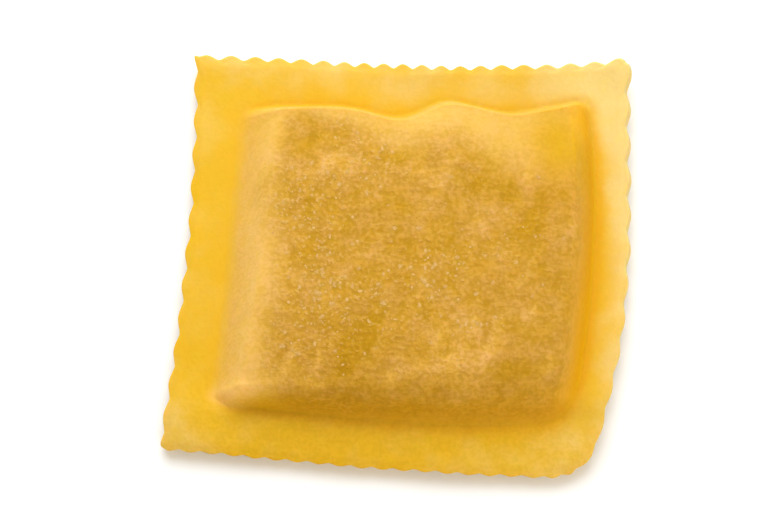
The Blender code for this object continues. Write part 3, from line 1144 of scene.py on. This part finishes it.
        edges = []
        for rings, is_upper, steps in ((upper, True, full), (lower, False, half)):
            numbers = [draft.add(self.raised(ring, is_upper)) for ring in rings]
            for outer, inner in zip(numbers, numbers[1:]):
                draft.join(outer, inner, is_upper)
            self.fill(draft, rings[-1], numbers[-1], is_upper, steps)
            edges.append(numbers[0])
        cut = [edges[0], *[draft.add(points) for points in self.cut_rings()], edges[1]]
        for above, below in zip(cut, cut[1:]):
            draft.join(below, above, True)
        return draft.mesh("ravioli_dough")

    def fill(
        self, draft: MeshDraft, ring: Ring, numbers: np.ndarray, upper: bool, steps: tuple[int, int]
    ) -> None:
        """Fills a sheet's innermost ring with a grid.

        Args:
            draft: The draft to add to.
            ring: The ring.
            numbers: Its vertices.
            upper: Whether it is on the upper sheet.
            steps: Its steps along the long and the short sides.
        """
        columns, rows = steps
        places = fill_places(ring.places, columns, rows)
        grid = np.empty((rows + 1, columns + 1), dtype=int)
        grid[0], grid[:, -1], grid[-1], grid[:, 0] = four_edges(numbers, columns, rows)
        inside = Ring(places[1:-1, 1:-1].reshape(-1, 2), np.empty(0), np.empty(0))
        grid[1:-1, 1:-1] = draft.add(self.raised(inside, upper)).reshape(rows - 1, columns - 1)
        draft.add_grid(grid, upper)

    def flouriness(self, points: Points, pillow: Values) -> Values:
        """Where flour covers the pillow.

        Args:
            points: The vertices.
            pillow: How much of the pillow there is at each.

        Returns:
            A value from 0 to 1 for each vertex.
        """
        places = points[:, :2]
        uneven = self.uneven.values(points) * self.uneven_reach
        uneven += self.advance.depths(places) * self.advance_reach
        # Flour is kept off the bare patch and off the front left corner, where the paler skin is partly
        # painted light.
        floury = pillow * (1.0 - self.bare.depths(places)) * (1.0 - self.drawn.depths(places))
        for side, starts, widths in zip(FILLING, self.floury_starts, self.floury_widths):
            along = ease(side.shares_beside(places))
            floury *= rise(side.distances_inside(places) + uneven, span(starts, along), span(widths, along))
        return floury

    def thinness(self, places: Places, along: list[Values], back: Values, right: Values) -> Values:
        """Where the rim is pressed to a thinner sheet and looks pale, partly painted light shining through
        it.

        Args:
            places: Plan points.
            along: The eased share of each side that they lie beside.
            back: How near they are to the back.
            right: How near they are to the right.

        Returns:
            A value for each place, mostly from 0 to 1.
        """
        out = np.zeros(len(places))
        for side, width in zip(FILLING, self.form.rim_widths):
            out = np.maximum(out, -side.distances_inside(places) / width)
        out += self.back_paleness * back * (1.0 - along[Edge.BACK])
        out += self.right_paleness * right * along[Edge.RIGHT]
        strengths = tuple(span(ends, share) for ends, share in zip(self.thin_rims, along))
        thin = self.form.by_side(places, strengths) * ease(out)
        for edge, paleness, reach in self.pale_corners:
            thin += paleness * bell(np.hypot(*(places - CUT_CORNERS[edge]).T) / reach)
        return thin

    def painted_front_shading(self, places: Places, pillow: Values) -> Values:
        """Where shade is painted dark along the front flank and crease, which starts a little way from its
        left corner.

        Args:
            places: Plan points.
            pillow: How much of the pillow there is at each.

        Returns:
            A value from 0 to 1 for each place.
        """
        front = FILLING[Edge.FRONT]
        share, inside = front.shares_beside(places), front.distances_inside(places)
        corner = 1.0 - rise(share, *self.painted_shade_corner_range)
        half_width = self.painted_shade_half_width * span((1.0, self.painted_shade_narrowing), corner)
        painted_front_shade = bell((inside - self.painted_shade_inset + self.painted_shade_retreat * corner) / half_width)
        broad = pillow * (1.0 - ease(inside / self.front_reach)) * (1.0 - corner)
        painted_front_shade = np.maximum(painted_front_shade, self.painted_shade_front_share * broad)
        fading = span((1.0, self.painted_shade_far_share), np.clip(share, 0.0, 1.0))
        return painted_front_shade * ease(share / self.painted_shade_rise) * fading

    def masks(self, points: Points) -> dict[str, Values]:
        """Tells the parts of the skin apart, and where light and shade are painted on it.

        Args:
            points: The vertices, before the relief is laid over them.

        Returns:
            By name, a value from 0 to 1 for each vertex.
        """
        form, places = self.form, points[:, :2]
        front = FILLING[Edge.FRONT]
        steps = form.flank.steps(places)
        along = [ease(side.shares_beside(places)) for side in FILLING]
        back = form.by_side(places, (0.0, 0.0, 1.0, 0.0))
        right = form.by_side(places, (0.0, 1.0, 0.0, 0.0))
        above = ease((points[:, 2] - form.seam_heights(places)) / self.skin_softness)
        pillow = rise(steps, *self.pillow_start) * above
        floury = self.flouriness(points, pillow)

        # The crease colour: partly painted shade and bounced light.
        strengths = tuple(span(ends, share) for ends, share in zip(self.crease_shade_strengths, along))
        crease = form.by_side(places, strengths) * (1.0 - back * (1.0 - form.pinch(places)))
        crease *= bell(steps / np.where(steps > 0.0, *self.crease_shade_widths)) * above
        base, swing = self.dusting_shares
        dusting = floury * np.clip(base + swing * self.dusting.values(points), 0.0, 1.0)
        dusting *= span(self.dusting_ends, along[Edge.FRONT])
        dusting *= span((self.front_dusting, 1.0), ease(front.distances_inside(places) / self.front_reach))
        grit = pillow * span((self.smooth_grit, 1.0), floury)
        values = (
            pillow,
            floury,
            crease,
            self.thinness(places, along, back, right),
            dusting,
            np.maximum(form.by_side(places, self.rim_grit), grit),
            # how near the back: picks the back flank's darker copy, painted shade
            back,
            # the right flank's painted shade, fading at its back end
            right * (1.0 - rise(along[Edge.RIGHT], *self.right_shade_end)),
            pillow * self.bare.depths(places),
            # painted light on the shaded front left corner
            rise(steps, *self.painted_light_foot_start) * above * self.foot.depths(places),
            # painted light on the top of the right flank
            pillow * self.painted_glow.depths(places),
            # painted shade along the front
            self.painted_front_shading(places, pillow) * above,
        )
        return dict(zip(MASKS, values))

    def build(self) -> bpy.types.Object:
        """Builds the dough, with its relief and its finish.

        Returns:
            The piece.
        """
        data = self.draft_mesh()
        points, normals = read_vertices(data, "co"), read_vertices(data, "normal")
        masks = self.masks(points)
        relief = self.skin.heights(points, masks["pillow"], masks["floury"])
        resting = ease(points[:, 2] / self.resting_reach)
        moves = (relief * self.skin.depth - masks["pillow"] * self.skin.sunk) * resting
        points = points + normals * moves[:, None]

        middle = (points.min(axis=0) + points.max(axis=0)) / 2
        box = np.array(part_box(NODE))
        points = points - [middle[0], middle[1], points[:, 2].min()] + [*box.mean(axis=0)[:2], box[0][2]]
        data.vertices.foreach_set("co", points.ravel())
        for name, values in {**masks, "relief": relief}.items():
            data.attributes.new(name, "FLOAT", "POINT").data.foreach_set("value", values)
        data.update()

        piece = place_mesh("ravioli_dough", data, self.finish.material())
        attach(piece, "root")
        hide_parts(NODE)
        return piece


@dataclass(frozen=True)
class SemolinaFinish:
    """Pale, dry grains of semolina."""

    colour: Triple = (0.56, 0.300, 0.058)
    pale: Triple = (0.64, 0.365, 0.105)
    shade_size: float = 0.6 * MM
    pale_range: Pair = (0.38, 0.62)
    roughness: Pair = (0.62, 0.78)
    roughness_range: Pair = (0.3, 0.7)
    scatter: float = 0.3
    scatter_depth: float = 0.15 * MM
    scatter_colours: Triple = (1.0, 0.7, 0.4)

    def material(self) -> bpy.types.Material:
        """Makes the grains' material.

        Returns:
            The material.
        """
        sheet = NodeSheet("semolina")
        shade = sheet.noise(self.shade_size, detail=2.0)
        return sheet.finished(
            {
                "Base Color": sheet.colour(self.colour, self.pale, sheet.between(shade, *self.pale_range)),
                "Roughness": sheet.between(shade, *self.roughness_range, *self.roughness),
                "Subsurface Weight": self.scatter,
                "Subsurface Radius": self.scatter_colours,
                "Subsurface Scale": self.scatter_depth,
            }
        )


@dataclass
class SemolinaDusting:
    """Grains of semolina that cling to the top of the pillow."""

    finish: SemolinaFinish = field(default_factory=SemolinaFinish)
    grains: int = 300
    radii: Pair = (0.11 * MM, 0.27 * MM)
    small_share: float = 1.6
    lengths: Pair = (0.8, 1.4)
    widths: Pair = (0.7, 1.1)
    flatness: float = 0.12
    unevenness: float = 0.15
    stand: float = -0.03
    level: float = 0.8
    seed: int = 11

    def build(self, dough: bpy.types.Object) -> bpy.types.Object:
        """Scatters the grains over the dough, as one joined mesh.

        Args:
            dough: The piece that they lie on, whose mesh holds where it is dusted.

        Returns:
            The grains.
        """
        draws = np.random.default_rng(self.seed)
        points, normals = read_vertices(dough.data, "co"), read_vertices(dough.data, "normal")
        dusting = np.empty(len(points))
        dough.data.attributes["dusting"].data.foreach_get("value", dusting)
        chances = np.where(normals[:, 2] > self.level, dusting, 0.0) ** 2
        chosen = draws.choice(len(points), self.grains, replace=False, p=chances / chances.sum())

        grain, faces = self.grain()
        draft = MeshDraft()
        for place, way in zip(points[chosen], normals[chosen]):
            radius = span(self.radii, draws.random() ** self.small_share)
            shape = grain * (1.0 + self.unevenness * draws.standard_normal((len(grain), 1)))
            sizes = [draws.uniform(*self.lengths), draws.uniform(*self.widths), self.flatness]
            angle = draws.uniform(0.0, math.tau)
            over, up = math.cos(angle), math.sin(angle)
            turned = shape * (radius * np.array(sizes)) @ np.array([[over, up, 0], [-up, over, 0], [0, 0, 1]])
            numbers = draft.add(turned + place + way * radius * self.stand)
            draft.add_faces(faces + numbers[0], True)
        piece = place_mesh("semolina", draft.mesh("semolina"), self.finish.material())
        piece.data.shade_flat()
        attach(piece, "root")
        return piece

    @staticmethod
    def grain() -> tuple[Points, np.ndarray]:
        """Makes a round grain, one unit in radius.

        Returns:
            Its vertices, and its faces as their numbers.
        """
        ball = bmesh.new()
        bmesh.ops.create_icosphere(ball, subdivisions=1, radius=1.0)
        points = np.array([vertex.co[:] for vertex in ball.verts])
        faces = np.array([[vertex.index for vertex in face.verts] for face in ball.faces])
        ball.free()
        return points, faces


@dataclass(frozen=True)
class Lamp:
    """A round soft light that shines at the piece, with its power in watts."""

    name: str
    place: Triple
    size: float
    power: float
    colour: Triple

    def hang(self) -> None:
        """Hangs the light in its place."""
        light = bpy.data.lights.new(self.name, "AREA")
        light.shape = "DISK"
        light.size = self.size
        light.energy = self.power
        light.color = self.colour
        lamp = bpy.data.objects.new(self.name, light)
        lamp.location = self.place
        lamp.rotation_euler = (-Vector(self.place)).to_track_quat("-Z", "Y").to_euler()
        bpy.context.scene.collection.objects.link(lamp)


@dataclass
class Studio:
    """A pale floor, soft light from behind and to the left, and a camera that looks down on the piece."""

    floor_size: float = 3.0
    floor_colour: Triple = (0.95, 0.95, 0.95)
    floor_shade: float = 0.98
    floor_patch_size: float = 0.4
    floor_patch_range: Pair = (0.3, 0.7)
    floor_roughness: float = 0.9
    lamps: tuple[Lamp, ...] = (
        Lamp("key", (-0.022, 0.17, 0.20), 0.30, 0.87, COOL_LIGHT),
        Lamp("fill", (0.12, -0.40, 0.34), 0.60, 0.42, WARM_LIGHT),
        Lamp("bounce", (0.10, -0.09, 0.05), 0.08, 0.036, WARM_LIGHT),
    )
    sky: float = 0.60
    sky_colour: Triple = WARM_LIGHT
    elevation: float = math.radians(78.0)
    lens: float = 110.0
    sensor: float = 36.0
    nearest: float = 10.0 * MM
    view_width: float = 82.6 * MM
    aim: Triple = (-1.68 * MM, -0.55 * MM, 3.0 * MM)

    def lay_floor(self) -> None:
        """Lays the floor under the piece."""
        half = self.floor_size / 2
        corners = [(-half, -half, 0), (half, -half, 0), (half, half, 0), (-half, half, 0)]
        data = bpy.data.meshes.new("floor")
        data.from_pydata(corners, [], [(0, 1, 2, 3)])
        sheet = NodeSheet("pale_floor")
        darker = tuple(self.floor_shade * part for part in self.floor_colour)
        patches = sheet.noise(self.floor_patch_size, detail=2.0)
        shade = sheet.between(patches, *self.floor_patch_range)
        colour = sheet.colour(self.floor_colour, darker, shade)
        finish = sheet.finished({"Base Color": colour, "Roughness": self.floor_roughness})
        floor = place_mesh("floor", data, finish)

    def add_camera(self) -> None:
        """Sets the camera over the front edge, so that the width of view fits the lens."""
        camera = bpy.data.cameras.new("camera")
        camera.lens = self.lens
        camera.sensor_width = self.sensor
        camera.clip_start = self.nearest
        stand = bpy.data.objects.new("camera", camera)
        distance = self.view_width * self.lens / self.sensor
        back = Vector((0.0, -math.cos(self.elevation), math.sin(self.elevation)))
        stand.location = Vector(self.aim) + back * distance
        stand.rotation_euler = (-back).to_track_quat("-Z", "Y").to_euler()
        bpy.context.scene.collection.objects.link(stand)
        bpy.context.scene.camera = stand

    def build(self) -> None:
        """Sets up the floor, the light and the camera."""
        self.lay_floor()
        for lamp in self.lamps:
            lamp.hang()
        world = bpy.data.worlds.new("studio")
        world.use_nodes = True
        background = world.node_tree.nodes["Background"]
        background.inputs["Color"].default_value = (*self.sky_colour, 1.0)
        background.inputs["Strength"].default_value = self.sky
        bpy.context.scene.world = world
        bpy.context.scene.view_settings.view_transform = "Standard"
        self.add_camera()


def main() -> None:
    """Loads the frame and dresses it."""
    logging.basicConfig(level=logging.INFO, format="%(name)s: %(message)s")
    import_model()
    dough = RavioliBody().build()
    LOG.info("%s: %d faces", dough.name, len(dough.data.polygons))
    semolina = SemolinaDusting().build(dough)
    LOG.info("%s: %d faces", semolina.name, len(semolina.data.polygons))
    Studio().build()
    LOG.info("studio: floor, lights and camera")


if __name__ == "__main__":
    main()
